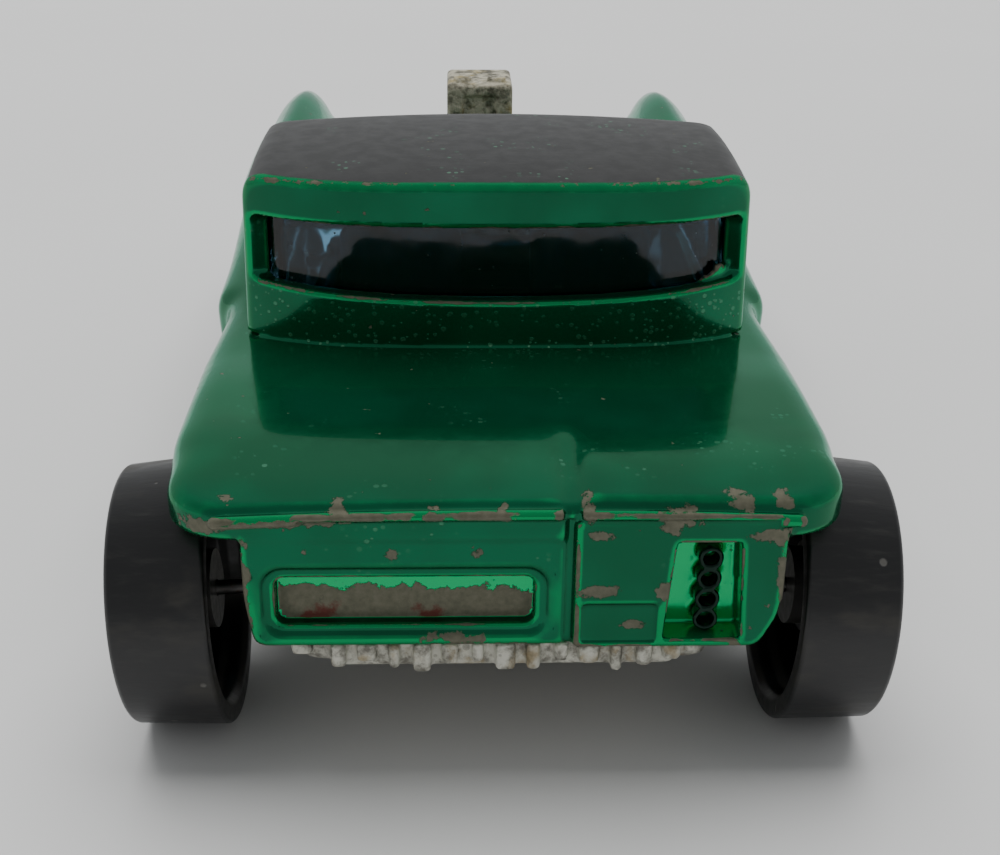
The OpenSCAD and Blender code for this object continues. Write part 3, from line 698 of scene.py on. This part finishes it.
def engine_field(x, y, z):
    ax = np.abs(x)
    form = soft_box(x, y, z, (-2.6, 8.4, 7), (2.6, 16.4, 12), 0.3)
    form = either(form, soft_box(x, y, z, (-1.8, 12.4, 4.6), (1.8, 15.8, 7.5), 0.2), 0.2)
    for i in range(4):
        v = y - 9.4 - i * 1.9
        along = (ax - 1.9) * math.sin(STACK_LEAN) + (z - 11.6) * math.cos(STACK_LEAN)
        across = (ax - 1.9) * math.cos(STACK_LEAN) - (z - 11.6) * math.sin(STACK_LEAN)
        away = np.hypot(across, v)
        stack = np.maximum(away - 0.72, np.abs(along - 0.6) - 1.05)
        form = either(form, less(stack, np.maximum(away - 0.42, 1.0 - along), 0.08), 0.15)
    form = either(form, soft_box(x, y, z, (-1.5, 9.2, 11.5), (1.5, 15.6, 14.9), 0.3), 0.2)
    x = x + 0.35       # the scoop sits a little off centre
    scoop = soft_box(x, y, z, (-1.95, 10.2, 14.7), (1.95, 14.8, 18.0), 0.3)
    scoop = less(scoop, soft_box(x, y, z, (-1.35, 13.4, 15.5), (1.35, 17, 17.6), 0.3), 0.1)
    scoop = less(scoop, soft_box(x, y, z, (-1.0, 8, 15.8), (1.0, 10.45, 17.3), 0.2), 0.15)
    fins = np.maximum(np.abs((z + 0.25) % 0.55 - 0.27) - 0.09, np.abs(scoop) - 0.1)
    fins = np.maximum(fins, np.maximum(z - 16.2, 15.0 - z))
    form = either(form, less(scoop, fins, 0.05), 0.1)
    caps = np.maximum(np.hypot(np.abs(x) - 1.0, y - 11.2) - 0.55, np.abs(z - 17.9) - 0.35)
    return either(form, caps, 0.12)


engine = mesh_object("engine_block", *net(engine_field, steps((-4.2, 4.2, 0.14 * coarse)),
                     steps((8, 17, 0.14 * coarse)), steps((4.3, 18.9, 0.14 * coarse))))
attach(engine, "chassis")
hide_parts("engine_casting")
engine_zinc = cast_zinc("engine_zinc", (0.50, 0.47, 0.36), (0.16, 0.15, 0.11), (0.36, 0.28, 0.10))
engine.data.materials.append(engine_zinc)

# ---------------------------------------------------------------- spring wires
# Bent spring steel, one half per wheel: it twists in the base's saddles and ends in the stub
# axle with an upset head. It is bright where it was drawn, with a little brown rust.
wire = Finish("spring_steel", Metallic=1.0)
drawn = wire.noise(0.2, 3, 0.6, (6, 6, 1))
rust = wire.between(wire.noise(1.2, 4, 0.65), 0.55, 0.7)
steel = wire.blend(drawn, (0.10, 0.10, 0.10), (0.26, 0.25, 0.24))
wire.set("Base Color", wire.blend(rust, steel, (0.16, 0.08, 0.04)))
wire.set("Roughness", wire.mix(rust, 0.3, 0.7))
wire.bump(drawn, 0.01)
for corner in ("rl", "rr", "fl", "fr"):
    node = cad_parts["wire_" + corner]
    node.data.materials.clear()
    node.data.materials.append(wire.material)

# ---------------------------------------------------------------- wheels
# Hard black mouldings, wider and larger at the back. The tread is coned so that it stands flat
# while the wheel leans. The inner side is open, with a boss, and the outer side is closed
# behind a plated face. The tread is scuffed and dusty.
CAMBER = math.radians(3.5)
REAR = dict(radius=5.45, width=3.8, x=13.0, y=REAR_Y, z=REAR_ZC)
FRONT = dict(radius=4.85, width=3.2, x=12.7, y=FRONT_Y, z=FRONT_ZC)


def soften(corners, cut):
    """Rounds each corner of a closed outline by an arc that starts cut away from it."""
    corners = [Vector(c) for c in corners]
    out = []
    for before, here, after in zip(corners[-1:] + corners[:-1], corners, corners[1:] + corners[:1]):
        near = min(cut, (before - here).length * 0.4, (after - here).length * 0.4)
        start = here + (before - here).normalized() * near
        end = here + (after - here).normalized() * near
        for t in (0, 0.25, 0.5, 0.75, 1):
            out.append((start * (1 - t) + here * t) * (1 - t) + (here * (1 - t) + end * t) * t)
    return [tuple(p) for p in out]


def wheel_profile(radius, width):
    """Outline of the moulding: height runs from the inner face to the outer face."""
    h = width / 2
    outer = radius - width * math.tan(CAMBER)
    corners = [(1.3, -h + 1.2), (1.9, -h + 1.2), (1.95, h - 1.3), (2.9, h - 1.25), (3.1, h - 1.05),
               (radius - 1.75, h - 1.05), (radius - 1.45, h - 1.6), (radius - 1.3, -h + 1.1),
               (radius - 1.05, -h + 0.75), (radius - 0.95, -h + 0.3), (radius - 0.7, -h),
               (radius - 0.1, -h),
               (radius, -h + 0.12), (outer, h - 0.14), (outer - 0.12, h), (outer - 0.55, h),
               (outer - 0.85, h - 0.5), (1.3, h - 0.5)]
    return soften(corners, 0.09)


def stand(points, side, spec):
    """Puts a wheel part, made about Z with its outer face up, at its axle."""
    turn = Matrix.Rotation(side * (math.pi / 2 + CAMBER), 3, "Y")
    return points @ np.array(turn).T + (side * spec["x"], spec["y"], spec["z"])


rubbed = Finish("wheel_black", Coat_Weight=0.0)
scuff = rubbed.noise(0.5, 5, 0.65, (5, 1, 1))
dusty = rubbed.between(rubbed.noise(2.6, 4, 0.6, (2, 1, 1)), 0.5, 0.72)
black = rubbed.between(scuff, 0.5, 0.75)
black = rubbed.blend(black, (0.004, 0.004, 0.0045), (0.014, 0.014, 0.013))
nick = rubbed.specks(1.6, 0.13)
tone = rubbed.blend(rubbed.sums("MULTIPLY", dusty, 0.5), black, (0.05, 0.046, 0.036))
rubbed.set("Base Color", rubbed.blend(rubbed.sums("MULTIPLY", nick, 0.6), tone, (0.12, 0.115, 0.105)))
rubbed.set("Roughness", rubbed.mix(dusty, rubbed.between(scuff, 0.3, 0.8, 0.3, 0.45), 0.55))
rubbed.bump(rubbed.sums("SUBTRACT", rubbed.sums("MULTIPLY", scuff, 0.5), nick), 0.03)

bush = Finish("bearing_plastic")
wax = bush.noise(0.4, 3)
bush.set("Base Color", bush.blend(wax, (0.035, 0.034, 0.033), (0.06, 0.058, 0.055)))
bush.set("Roughness", bush.between(wax, 0.3, 0.7, 0.3, 0.42))
bush.bump(wax, 0.01)

plating = Finish("worn_plating")
rub = plating.between(plating.noise(0.9, 5, 0.65), 0.55, 0.7)
plating.set("Base Color", plating.blend(rub, (0.62, 0.62, 0.63), (0.30, 0.29, 0.27)))
plating.set("Metallic", plating.mix(rub, 1.0, 0.6))
plating.set("Roughness", plating.mix(rub, 0.14, 0.42))
plating.bump(plating.noise(0.3, 3), 0.01)


def hub_field(radius, width):
    """Plated face: a rim, five spokes and a domed centre, hollow behind for the wire's head."""
    h = width / 2

    def field(x, y, z):
        away = np.hypot(x, y)
        turn = np.arctan2(y, x)
        disc = np.maximum(away - radius, np.abs(z - h + 0.36) - 0.14)
        rim = both(np.abs(away - radius + 0.28) - 0.28, np.abs(z - h + 0.22) - 0.27, 0.15)
        wave = np.cos(turn * 5)
        thick = np.abs(z - h + 0.25) - 0.24 + 0.04 * away / radius
        spoke = both((0.42 - wave) * away * 0.3 + 0.05, thick, 0.25)
        spoke = np.maximum(spoke, away - radius + 0.1)
        dome = np.sqrt(away ** 2 + ((z - h + 0.5) * 1.6) ** 2) - 1.0
        middle = either(spoke, np.maximum(dome, h - 0.5 - z), 0.15)
        form = either(either(disc, rim, 0.12), middle, 0.12)
        return np.maximum(less(form, np.maximum(away - 0.8, z - h + 0.3), 0.05), h - 0.5 - z)

    return field


for corner, side, spec in (("rl", -1, REAR), ("rr", 1, REAR), ("fl", -1, FRONT), ("fr", 1, FRONT)):
    radius, width = spec["radius"], spec["width"]
    ring, faces = lathe(wheel_profile(radius, width), 144)
    moulded = mesh_object("wheel_shape_" + corner, stand(ring, side, spec), faces)
    moulded.data.materials.append(rubbed.material)
    face_radius = radius - width * math.tan(CAMBER) - 0.95
    half = width / 2
    span = steps((-face_radius - 0.4, face_radius + 0.4, 0.13 * coarse))
    shape, faces = net(hub_field(face_radius, width), span, span,
                       steps((half - 0.75, half + 0.35, 0.09 * coarse)))
    hub = mesh_object("hub_shape_" + corner, stand(shape, side, spec), faces)
    hub.data.materials.append(plating.material)
    for piece, node, slot in ((moulded, "wheel_", "black_plastic"),
                              (hub, "hub_", "plated_plastic")):
        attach(piece, "road_wheel_" + corner)
        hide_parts(node + corner)
    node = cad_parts["bearing_" + corner]
    node.data.materials.clear()
    node.data.materials.append(bush.material)

# ---------------------------------------------------------------- stand and light
# A plain pale table under a large soft light, and a camera close behind the car.
table = bpy.data.meshes.new("table")
table.from_pydata([(-3, -3, 0), (3, -3, 0), (3, 3, 0), (-3, 3, 0)], [], [(0, 1, 2, 3)])
floor = bpy.data.objects.new("floor", table)
bpy.context.collection.objects.link(floor)
surface = Finish("table_top", Roughness=0.55)
pale = surface.noise(40, 2)
surface.set("Base Color", surface.blend(pale, (0.60, 0.60, 0.595), (0.64, 0.64, 0.635)))
floor.data.materials.append(surface.material)

world = bpy.data.worlds.new("room")
bpy.context.scene.world = world
world.use_nodes = True
room = world.node_tree
# The room is bright all round, and dimmer above and behind the camera
toward = room.nodes.new("ShaderNodeVectorMath")
toward.operation = "DOT_PRODUCT"
toward.inputs[1].default_value = (0, -0.62, 0.78)
room.links.new(room.nodes.new("ShaderNodeTexCoord").outputs["Generated"], toward.inputs[0])
brightness = room.nodes.new("ShaderNodeMapRange")
brightness.interpolation_type = "SMOOTHSTEP"
for socket, value in (("From Min", 0.25), ("From Max", 0.85), ("To Min", 0.68), ("To Max", 0.42)):
    brightness.inputs[socket].default_value = value
room.links.new(toward.outputs["Value"], brightness.inputs["Value"])
room.links.new(brightness.outputs["Result"], room.nodes["Background"].inputs["Strength"])
room.nodes["Background"].inputs["Color"].default_value = (0.97, 0.99, 1.0, 1)


def soft_light(name, at, aim, size, power):
    lamp = bpy.data.lights.new(name, "AREA")
    lamp.shape = "RECTANGLE"
    lamp.size, lamp.size_y = size
    lamp.energy = power
    light = bpy.data.objects.new(name, lamp)
    light.location = at
    light.visible_glossy = False
    light.rotation_euler = (Vector(aim) - Vector(at)).to_track_quat("-Z", "Y").to_euler()
    bpy.context.collection.objects.link(light)


soft_light("window", (0.0, 0.35, 1.0), (0, 0, 0), (1.2, 1.0), 17)

lens = bpy.data.cameras.new("camera")
lens.sensor_width = 36
lens.lens = 54
lens.clip_start = 0.002
camera = bpy.data.objects.new("camera", lens)
bpy.context.collection.objects.link(camera)
bpy.context.scene.camera = camera
pitch, yaw, roll = math.radians(25), math.radians(1.98), math.radians(0.66)
ahead = Vector((math.sin(yaw) * math.cos(pitch), math.cos(yaw) * math.cos(pitch), -math.sin(pitch)))
level = Vector((math.cos(yaw), -math.sin(yaw), 0))
above = level.cross(ahead)
across = math.cos(roll) * level + math.sin(roll) * above
upward = math.cos(roll) * above - math.sin(roll) * level
pose = Matrix((across, upward, -ahead)).transposed().to_4x4()
pose.translation = Vector((-2.01, REAR_Y - 52.81, 37.18)) * MM
camera.matrix_world = pose
